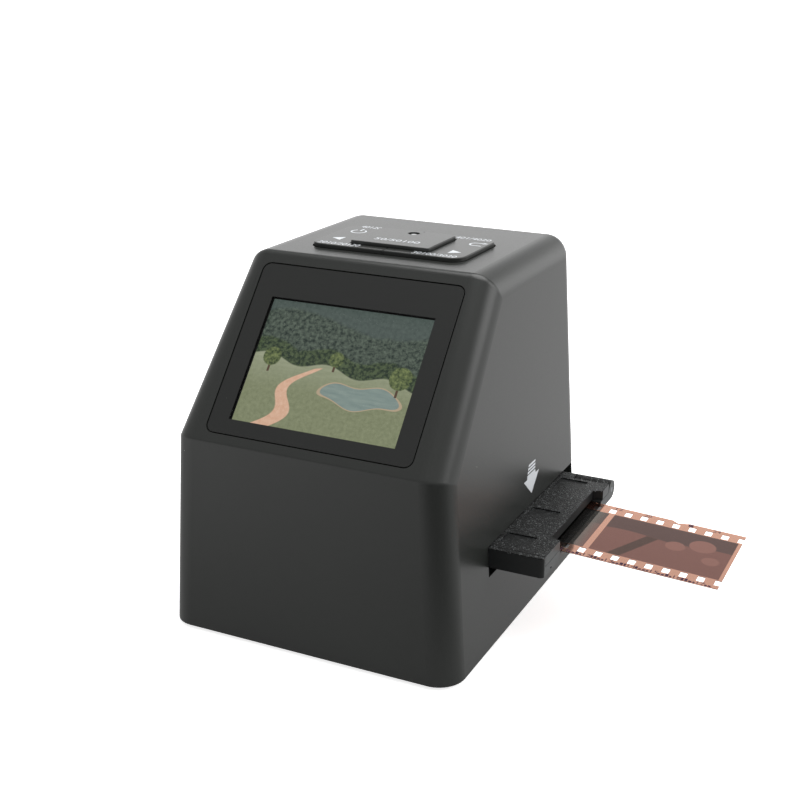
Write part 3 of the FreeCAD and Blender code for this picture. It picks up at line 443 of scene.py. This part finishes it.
def thicken(piece, thickness):
    """Turn a flat print into a thin closed layer that stands out of its surface."""
    layer = piece.modifiers.new("Ink", "SOLIDIFY")
    layer.thickness = thickness
    layer.offset = 1.0
    bpy.ops.object.modifier_apply(modifier=layer.name)


def flat_shape(sides, radius, at, turn=0.0):
    """Start a flat print from a many-sided face."""
    deselect()
    bpy.ops.mesh.primitive_circle_add(vertices=sides, radius=radius, fill_type="NGON", location=at,
                                      rotation=(0, 0, turn))
    return bpy.context.object


def flat_bar(width, height, at):
    """Start a flat print from a rectangle."""
    deselect()
    bpy.ops.mesh.primitive_plane_add(size=1, location=at)
    bpy.context.object.scale = (width, height, 1)
    bpy.ops.object.transform_apply(location=False, rotation=False, scale=True)
    return bpy.context.object


def keep_faces(piece, wanted):
    """Delete the faces of a flat shape whose centre isn't wanted."""
    bpy.ops.object.mode_set(mode="EDIT")
    shape = bmesh.from_edit_mesh(piece.data)
    bpy.ops.mesh.select_mode(type="FACE")
    bpy.ops.mesh.select_all(action="DESELECT")
    for face in shape.faces:
        face.select_set(not wanted(face.calc_center_median()))
    bmesh.update_edit_mesh(piece.data)
    bpy.ops.mesh.delete(type="FACE")
    bpy.ops.object.mode_set(mode="OBJECT")


def ring_print(radius, line, at, gap):
    """Ring with a gap: gap(angle) is true where nothing is printed."""
    ring = flat_shape(72, radius, at)
    bpy.ops.object.mode_set(mode="EDIT")
    bpy.ops.mesh.select_all(action="SELECT")
    bpy.ops.mesh.inset(thickness=line)
    bpy.ops.mesh.delete(type="FACE")
    bpy.ops.object.mode_set(mode="OBJECT")
    keep_faces(ring, lambda centre: not gap(math.degrees(math.atan2(centre.y, centre.x))))
    return ring


def joined(pieces):
    """Join pieces into the first of them."""
    deselect()
    for piece in pieces:
        piece.select_set(True)
    bpy.context.view_layer.objects.active = pieces[0]
    bpy.ops.object.join()
    return pieces[0]


# Height of a digit in letters of size 1
DIGIT_SHARE = 0.7


def number_print(words, height, width, at, thickness, turn=(0, 0, 0)):
    """Plain numbers of a given height, drawn out to a given width."""
    deselect()
    bpy.ops.object.text_add(location=at, rotation=turn)
    label = bpy.context.object
    label.data.body = words
    label.data.align_x = "CENTER"
    label.data.align_y = "CENTER"
    label.data.size = height / DIGIT_SHARE
    label.data.extrude = thickness / 2
    label.data.resolution_u = 3
    bpy.context.view_layer.update()
    label.scale.x = width / label.dimensions.x
    bpy.ops.object.convert(target="MESH")
    return bpy.context.object


class ScannerShell(bpy.types.PropertyGroup):
    """Housing, cover and feet."""
    colour: bpy.props.FloatVectorProperty(name="Housing colour", description="Colour of the moulded housing",
                                          subtype="COLOR", size=3, default=srgb(35, 37, 35))
    roughness: bpy.props.FloatProperty(name="Roughness", description="How matte the housing is",
                                       subtype="FACTOR", default=0.34, min=0.0, max=1.0)
    grain: bpy.props.FloatProperty(name="Grain", description="Size of the moulded grain", unit="LENGTH",
                                   default=0.00035)
    dust: bpy.props.FloatProperty(name="Dust", description="Share of places with a speck of dust",
                                  subtype="FACTOR", default=0.12, min=0.0, max=1.0)


class ScannerScreen(bpy.types.PropertyGroup):
    """Window and screen."""
    border: bpy.props.FloatVectorProperty(name="Border colour", description="Print round the picture",
                                          subtype="COLOR", size=3, default=srgb(34, 35, 34))
    width: bpy.props.FloatProperty(name="Picture width", description="Width of the lit picture",
                                   unit="LENGTH", default=0.0496)
    height: bpy.props.FloatProperty(name="Picture height", description="Height of the lit picture",
                                    unit="LENGTH", default=0.0367)
    glow: bpy.props.FloatProperty(name="Glow", description="How bright the screen is lit", default=1.0)


class ScannerKeys(bpy.types.PropertyGroup):
    """Keys and their prints."""
    colour: bpy.props.FloatVectorProperty(name="Key colour", description="Colour of the keys",
                                          subtype="COLOR", size=3, default=srgb(37, 39, 37))
    print_colour: bpy.props.FloatVectorProperty(name="Print colour", description="Colour of the marks",
                                                subtype="COLOR", size=3, default=srgb(208, 212, 216))
    number_height: bpy.props.FloatProperty(name="Number height", description="Height of the numbers",
                                           unit="LENGTH", default=0.0024)
    ink: bpy.props.FloatProperty(name="Ink thickness", description="How far a print stands out",
                                 unit="LENGTH", default=0.00003)


class ScannerHolder(bpy.types.PropertyGroup):
    """Film holder."""
    colour: bpy.props.FloatVectorProperty(name="Holder colour", description="Colour of the film holder",
                                          subtype="COLOR", size=3, default=srgb(29, 30, 30))
    pebble: bpy.props.FloatProperty(name="Pebble", description="Size of the lid's coarse grain",
                                    unit="LENGTH", default=0.00045)


class ScannerFilm(bpy.types.PropertyGroup):
    """Strip of film."""
    mask: bpy.props.FloatVectorProperty(name="Film colour", description="Colour of clear developed film",
                                        subtype="COLOR", size=3, default=srgb(248, 192, 168))
    edge_print: bpy.props.FloatVectorProperty(name="Edge print", description="Colour of the edge numbers",
                                              subtype="COLOR", size=3, default=srgb(62, 36, 52))
    pitch: bpy.props.FloatProperty(name="Frame pitch", description="From one frame to the next",
                                   unit="LENGTH", default=0.038)
    picture_height: bpy.props.FloatProperty(name="Frame height", description="Height of a frame",
                                            unit="LENGTH", default=0.0243)


class ScannerStage(bpy.types.PropertyGroup):
    """Floor, light and camera."""
    room: bpy.props.FloatProperty(name="Room light", description="Even light from all round", default=0.5)
    backdrop: bpy.props.FloatProperty(name="Backdrop", description="Light from behind", default=1.7)
    front_floor: bpy.props.FloatProperty(name="Front floor", default=0.48,
                                         description="How bright the floor in front is in mirror rays")
    back_floor: bpy.props.FloatProperty(name="Back floor", default=1.05,
                                        description="How bright the floor behind is in mirror rays")
    top: bpy.props.FloatProperty(name="Top light", description="Power of the soft light above",
                                 unit="POWER", default=5.0)
    side: bpy.props.FloatProperty(name="Side light", description="Power of the soft light on the right",
                                  unit="POWER", default=3.0)
    lens: bpy.props.FloatProperty(name="Lens", description="Focal length in millimetres", default=57.467)


class SCANNER_OT_shell(bpy.types.Operator):
    """Finish the housing, its cover, feet and screws"""
    bl_idname = "scanner.shell"
    bl_label = "Housing"

    def execute(self, context):
        look = context.scene.scanner_shell
        colour = tuple(look.colour)
        paint(moulded("Housing_plastic", colour, look.roughness, look.grain, dust=look.dust), "housing")
        paint(moulded("Cover_plastic", colour, look.roughness + 0.1, look.grain), "base_cover")
        paint(rubber("Foot_rubber", srgb(40, 40, 41)), "rubber_feet")
        paint(metal("Screw_zinc", srgb(150, 152, 156)), "base_screws", "board_screws", "gate_screws")
        return {"FINISHED"}


class SCANNER_OT_screen(bpy.types.Operator):
    """Finish the window, the lit screen and what holds it"""
    bl_idname = "scanner.screen"
    bl_label = "Screen"

    def execute(self, context):
        look = context.scene.scanner_screen
        paint(screen_glass("Window_print", tuple(look.border), look.width, look.height), "screen_window")
        paint(screen_picture("Screen_picture", look.width, look.height, look.glow), "lcd_panel")
        paint(rubber("Screen_foam", srgb(26, 26, 27)), "lcd_gasket")
        paint(metal("Bracket_steel", srgb(168, 170, 172)), "lcd_bracket")
        return {"FINISHED"}


class SCANNER_OT_keys(bpy.types.Operator):
    """Finish the keys and print their marks"""
    bl_idname = "scanner.keys"
    bl_label = "Keys"

    def execute(self, context):
        look = context.scene.scanner_keys
        paint(moulded("Key_plastic", tuple(look.colour), 0.33, 0.0003, dust=0.1), "ok_key", "left_rocker",
              "right_rocker")
        paint(clear_lens("Pipe_clear", srgb(196, 200, 200), 0.3), "light_pipe")
        ink = moulded("Key_print", tuple(look.print_colour), 0.5, 0.0002)
        low = ROCKER_TOP - look.ink / 2
        tall = look.number_height
        power = ring_print(0.0024, 0.00048, (-0.0178, 0.0168, low), lambda angle: 55 < angle < 125)
        bar = flat_bar(0.00048, 0.0026, (-0.0178, 0.0190, low))
        self.finish_print([power, bar], "Print_standby", "left_button", ink, look.ink)
        left = flat_shape(3, 0.0022, (-0.0184, 0.0061, low), math.radians(90))
        self.finish_print([left], "Print_left", "left_button", ink, look.ink)
        right = flat_shape(3, 0.0022, (0.0185, 0.0049, low), math.radians(-90))
        self.finish_print([right], "Print_right", "right_button", ink, look.ink)
        back = ring_print(0.0019, 0.00045, (0.0200, 0.0166, low), lambda angle: abs(angle) < 80)
        arm = flat_bar(0.0020, 0.00045, (0.0211, 0.01828, low))
        foot = flat_bar(0.0022, 0.00045, (0.0212, 0.01493, low))
        tip = flat_shape(3, 0.0010, (0.0222, 0.01828, low), math.radians(-90))
        self.finish_print([back, arm, foot, tip], "Print_return", "right_button", ink, look.ink)
        numbers = (
            ("40120", 0.0064, (-0.0170, 0.0234), "left_button", ROCKER_TOP, "Numbers_back_left"),
            ("401/4020", 0.0110, (0.0166, 0.0228), "right_button", ROCKER_TOP, "Numbers_back_right"),
            ("2010/20120", 0.0132, (-0.0149, -0.0004), "left_button", ROCKER_TOP, "Numbers_front_left"),
            ("30100/3020", 0.0132, (0.0150, -0.0006), "right_button", ROCKER_TOP, "Numbers_front_right"),
            ("50/50100", 0.0140, (0.0, 0.0066), "ok_button", OK_TOP, "Numbers_middle"),
        )
        for words, width, (x, y), body, height, name in numbers:
            label = number_print(words, tall, width, (x, y, height), look.ink)
            settle(label, name, body, ink)
        return {"FINISHED"}

    def finish_print(self, pieces, name, body, ink, thickness):
        """Join flat shapes into one mark, thicken it and settle it on its key."""
        whole = joined(pieces)
        thicken(whole, thickness)
        settle(whole, name, body, ink)


class SCANNER_OT_side_mark(bpy.types.Operator):
    """Print the striped arrow above the holder's slot"""
    bl_idname = "scanner.side_mark"
    bl_label = "Side arrow"

    def execute(self, context):
        look = context.scene.scanner_keys
        ink = moulded("Side_print", tuple(look.print_colour), 0.5, 0.0002)
        head = self.outline(((8.55, 33.8), (14.9, 38.9), (12.2, 38.9), (12.0, 40.0), (5.7, 40.0), (5.5, 38.9),
                             (3.0, 38.9)))
        stripes = [self.outline(((5.9 + 0.5 * i, 40.4 + 0.95 * i), (12.0 + 0.1 * i, 40.4 + 0.95 * i),
                                 (12.1 + 0.1 * i, 41.0 + 0.95 * i), (6.2 + 0.5 * i, 41.0 + 0.95 * i)))
                   for i in range(3)]
        arrow = joined([head] + stripes)
        thicken(arrow, look.ink)
        settle(arrow, "Print_side_arrow", "scanner_body", ink)
        return {"FINISHED"}

    def outline(self, corners):
        """Flat face with these corners, depth and height in millimetres, on the right side."""
        deselect()
        bpy.ops.mesh.primitive_circle_add(vertices=len(corners), radius=0.001, fill_type="NGON")
        piece = bpy.context.object
        for vertex, (y, z) in zip(piece.data.vertices, corners):
            height = z / 1000
            inset = (height - HOUSING_FOOT) * math.tan(SIDE_DRAFT)
            vertex.co = (HALF_WIDTH - inset - PRINT_SINK, y / 1000, height)
        bpy.ops.object.mode_set(mode="EDIT")
        bpy.ops.mesh.select_all(action="SELECT")
        shape = bmesh.from_edit_mesh(piece.data)
        shape.normal_update()
        if any(face.normal.x < 0 for face in shape.faces):
            bpy.ops.mesh.flip_normals()
        bpy.ops.object.mode_set(mode="OBJECT")
        return piece


class SCANNER_OT_holder(bpy.types.Operator):
    """Finish the film holder"""
    bl_idname = "scanner.holder"
    bl_label = "Holder"

    def execute(self, context):
        look = context.scene.scanner_holder
        paint(pebbled("Holder_pebbled", tuple(look.colour), look.pebble), "holder_lid", "holder_base")
        paint(metal("Pin_steel", srgb(140, 142, 146)), "hinge_pin", "holder_spring")
        return {"FINISHED"}


class SCANNER_OT_film(bpy.types.Operator):
    """Finish the strip of film and print its edge numbers"""
    bl_idname = "scanner.film"
    bl_label = "Film"

    def execute(self, context):
        look = context.scene.scanner_film
        film = negative_film("Negative_film", tuple(look.mask), look.pitch, look.picture_height)
        paint(film, "film_strip")
        ink = moulded("Edge_print", tuple(look.edge_print), 0.6, 0.0002, level=0.1)
        pieces = []
        for step in range(MARK_COUNT):
            x = FIRST_MARK + step * MARK_STEP
            if step % 3 == 0:
                pieces.append(self.number(str(11 + step // 3), x, -1))
            else:
                pieces += [self.bar(x - 0.0005, 0.0005 + 0.0002 * (step * 7 % 3), step % 2, -1),
                           self.bar(x + 0.0005, 0.0004 + 0.0002 * (step * 5 % 3), step % 4, -1)]
        for words, x in (("12", 0.0645), ("20", 0.0735), ("24", 0.0938)):
            pieces.append(self.number(words, x, 1))
        pieces.append(self.bar(0.0862, 0.0014, 0, 1))
        for piece in pieces:
            deselect()
            piece.select_set(True)
            bpy.context.view_layer.objects.active = piece
            bpy.ops.object.transform_apply(location=True, rotation=True, scale=True)
        settle(joined(pieces), "Edge_numbers", "film", ink)
        return {"FINISHED"}

    def number(self, words, x, side):
        """Printed number on the near edge, side -1, or the far one, side 1."""
        height, slope = film_height(x)
        place = (x, FILM_MIDDLE + side * EDGE_ROW, height)
        return number_print(words, 0.0016, 0.0021, place, 0.00002, (0, slope, 0))

    def bar(self, x, length, low, side):
        """Printed bar, over the whole row or its lower half."""
        height, slope = film_height(x)
        place = (x, FILM_MIDDLE + side * EDGE_ROW - 0.00035 * bool(low), height)
        bar = flat_bar(length, 0.0008 if low else 0.0015, place)
        bar.rotation_euler = (0, slope, 0)
        thicken(bar, 0.00001)
        return bar


def film_height(x):
    """Height of the film's top at a place along it, and the tilt there, as it droops."""
    start, radius, turn = 0.0548, 0.06, math.radians(2.6)
    bend_end = start + radius * math.sin(turn)
    if x < start:
        return FILM_TOP, 0.0
    if x < bend_end:
        angle = math.asin((x - start) / radius)
        return FILM_TOP - radius * (1 - math.cos(angle)), angle
    return FILM_TOP - radius * (1 - math.cos(turn)) - (x - bend_end) * math.tan(turn), turn


class SCANNER_OT_insides(bpy.types.Operator):
    """Finish what is inside the housing"""
    bl_idname = "scanner.insides"
    bl_label = "Insides"

    def execute(self, context):
        paint(moulded("Chassis_black", srgb(30, 30, 31), 0.6, 0.0004), "film_gate", "key_frame", "lens_tower",
              "lens_mount")
        paint(moulded("Light_box_white", srgb(236, 236, 232), 0.6, 0.0004), "light_box")
        paint(moulded("Diffuser_opal", srgb(240, 242, 242), 0.35, 0.0002), "diffuser")
        paint(circuit("Board_green", srgb(28, 84, 56), srgb(206, 170, 96)), "main_board", "sensor_board",
              "key_board")
        paint(circuit("Board_white", srgb(214, 216, 212), srgb(206, 200, 150)), "lamp_board")
        paint(moulded("Switch_black", srgb(34, 34, 36), 0.4, 0.0003), "tact_switches", "processor",
              "lens_barrel")
        paint(clear_lens("Sensor_glass", srgb(46, 40, 62), 0.1), "image_sensor")
        paint(metal("Socket_tin", srgb(178, 180, 184)), "card_socket", "usb_socket")
        paint(ribbed_cable("Cable_amber", srgb(176, 132, 66), srgb(214, 170, 98)), "screen_cable",
              "sensor_cable")
        return {"FINISHED"}


class SCANNER_OT_stage(bpy.types.Operator):
    """Make the floor, the lights, the room and the camera"""
    bl_idname = "scanner.stage"
    bl_label = "Stage"

    def execute(self, context):
        look = context.scene.scanner_stage
        self.camera(context, look)
        self.floor(look)
        middle = (0.0, 0.0, 0.06)
        self.lamp("Top_light", look.top, (0.05, 0.15, 0.75), 0.7, middle)
        self.lamp("Side_light", look.side, (0.75, 0.25, 0.55), 0.6, middle)
        self.room(context, look)
        context.scene.view_settings.view_transform = "Standard"
        return {"FINISHED"}

    def camera(self, context, look):
        """Camera at the photograph's place: turned about the object, tilted down and rolled."""
        turn, tilt, roll = math.radians(24.335), math.radians(18.975), math.radians(-0.666)
        back = Vector((math.sin(turn) * math.cos(tilt), -math.cos(turn) * math.cos(tilt), math.sin(tilt)))
        right = Vector((math.cos(turn), math.sin(turn), 0))
        down = (-back).cross(right)
        across = math.cos(roll) * right + math.sin(roll) * down
        fall = -math.sin(roll) * right + math.cos(roll) * down
        target, distance = Vector((0.02002, 0, 0.064335)), 0.361281
        place = target + back * distance
        turned = Matrix((across, -fall, back)).transposed().to_4x4()
        deselect()
        bpy.ops.object.camera_add()
        camera = context.object
        camera.name = "Camera"
        camera.matrix_world = Matrix.Translation(place) @ turned
        camera.data.lens = look.lens
        camera.data.sensor_width = 36
        camera.data.shift_x = -0.0625
        camera.data.shift_y = -0.0117
        camera.data.clip_start = 0.01
        context.scene.camera = camera

    def floor(self, look):
        """Pale floor. Mirror rays see it lit at the back and shaded by cards at the front right."""
        deselect()
        bpy.ops.mesh.primitive_plane_add(size=12, location=(0, 0, -0.00005))
        floor = bpy.context.object
        floor.name = "Floor"
        finish = Finish("Floor_white")
        rays = finish.add("ShaderNodeLightPath", {}, {}, 0).socket.node.outputs
        camera, mirror = Wire(finish, rays["Is Camera Ray"]), Wire(finish, rays["Is Glossy Ray"])
        seen_through = Wire(finish, rays["Is Transmission Ray"])
        x, y, z = finish.axes()
        back = y.above(-0.05, 0.22)
        card = x.above(0.01, 0.1) * y.below(-0.11, 0.09)
        share = look.front_floor / look.back_floor
        left = y.below(-0.17, 0.12) * x.below(-0.12, 0.16)
        lit = (share + (1 - share) * back + 1.2 * share * left) * (1 - 0.85 * card)
        plain = finish.add("ShaderNodeBsdfDiffuse", {}, {"Color": (0.9, 0.9, 0.9)})
        plainly = camera.most(seen_through) * 0.75
        white = finish.add("ShaderNodeEmission", {}, {"Color": (1, 1, 1), "Strength": plainly})
        seen = finish.add("ShaderNodeAddShader", {}, {0: plain, 1: white})
        shade = finish.mix(lit, (0, 0, 0), (1, 1, 1))
        mirrored = finish.add("ShaderNodeEmission", {}, {"Color": shade, "Strength": look.back_floor})
        both = finish.add("ShaderNodeMixShader", {}, {0: mirror, 1: seen, 2: mirrored})
        finish.add("ShaderNodeOutputMaterial", {}, {"Surface": both})
        floor.data.materials.append(finish.material)

    def lamp(self, name, power, place, size, aim):
        """Soft round lamp that faces a point."""
        deselect()
        bpy.ops.object.light_add(type="AREA", location=place)
        lamp = bpy.context.object
        lamp.name = name
        lamp.data.energy = power
        lamp.data.shape = "DISK"
        lamp.data.size = size
        lamp.rotation_euler = (Vector(place) - Vector(aim)).to_track_quat("Z", "Y").to_euler()

    def room(self, context, look):
        """Light from all round: dim in front, bright behind, and white where the camera looks."""
        world = bpy.data.worlds.new("Room")
        context.scene.world = world
        finish = Finish("Room", world)
        x, y, z = finish.axes()
        camera = finish.add("ShaderNodeLightPath", {}, {}, "Is Camera Ray")
        behind = y.above(0.25, 0.6)
        low = z.below(0.3, 0.12)
        strength = look.room * (1 - 0.7 * behind) + look.backdrop * behind * low
        strength = strength * (1 - camera) + camera
        light = finish.add("ShaderNodeBackground", {}, {"Color": (1, 1, 1), "Strength": strength})
        finish.add("ShaderNodeOutputWorld", {}, {"Surface": light})


class SCANNER_PT_panel(bpy.types.Panel):
    """Lists the scanner's sizes, colours and pieces"""
    bl_idname = "SCANNER_PT_panel"
    bl_label = "Film scanner"
    bl_space_type = "VIEW_3D"
    bl_region_type = "UI"
    bl_category = "Scanner"

    def draw(self, context):
        for name, group in GROUPS.items():
            box = self.layout.box()
            box.label(text=group.__doc__)
            values = getattr(context.scene, name)
            for field in group.__annotations__:
                box.prop(values, field)
        for step in STEPS:
            self.layout.operator(step.bl_idname)


GROUPS = {
    "scanner_shell": ScannerShell,
    "scanner_screen": ScannerScreen,
    "scanner_keys": ScannerKeys,
    "scanner_holder": ScannerHolder,
    "scanner_film": ScannerFilm,
    "scanner_stage": ScannerStage,
}
STEPS = (SCANNER_OT_shell, SCANNER_OT_screen, SCANNER_OT_keys, SCANNER_OT_side_mark, SCANNER_OT_holder,
         SCANNER_OT_film, SCANNER_OT_insides, SCANNER_OT_stage)


def register():
    for name, group in GROUPS.items():
        bpy.utils.register_class(group)
        setattr(bpy.types.Scene, name, bpy.props.PointerProperty(type=group))
    for step in STEPS:
        bpy.utils.register_class(step)
    bpy.utils.register_class(SCANNER_PT_panel)


def unregister():
    bpy.utils.unregister_class(SCANNER_PT_panel)
    for step in reversed(STEPS):
        bpy.utils.unregister_class(step)
    for name, group in GROUPS.items():
        delattr(bpy.types.Scene, name)
        bpy.utils.unregister_class(group)


def main():
    register()
    bpy.ops.scanner.shell()
    bpy.ops.scanner.screen()
    bpy.ops.scanner.keys()
    bpy.ops.scanner.side_mark()
    bpy.ops.scanner.holder()
    bpy.ops.scanner.film()
    bpy.ops.scanner.insides()
    bpy.ops.scanner.stage()


if __name__ == "__main__":
    main()
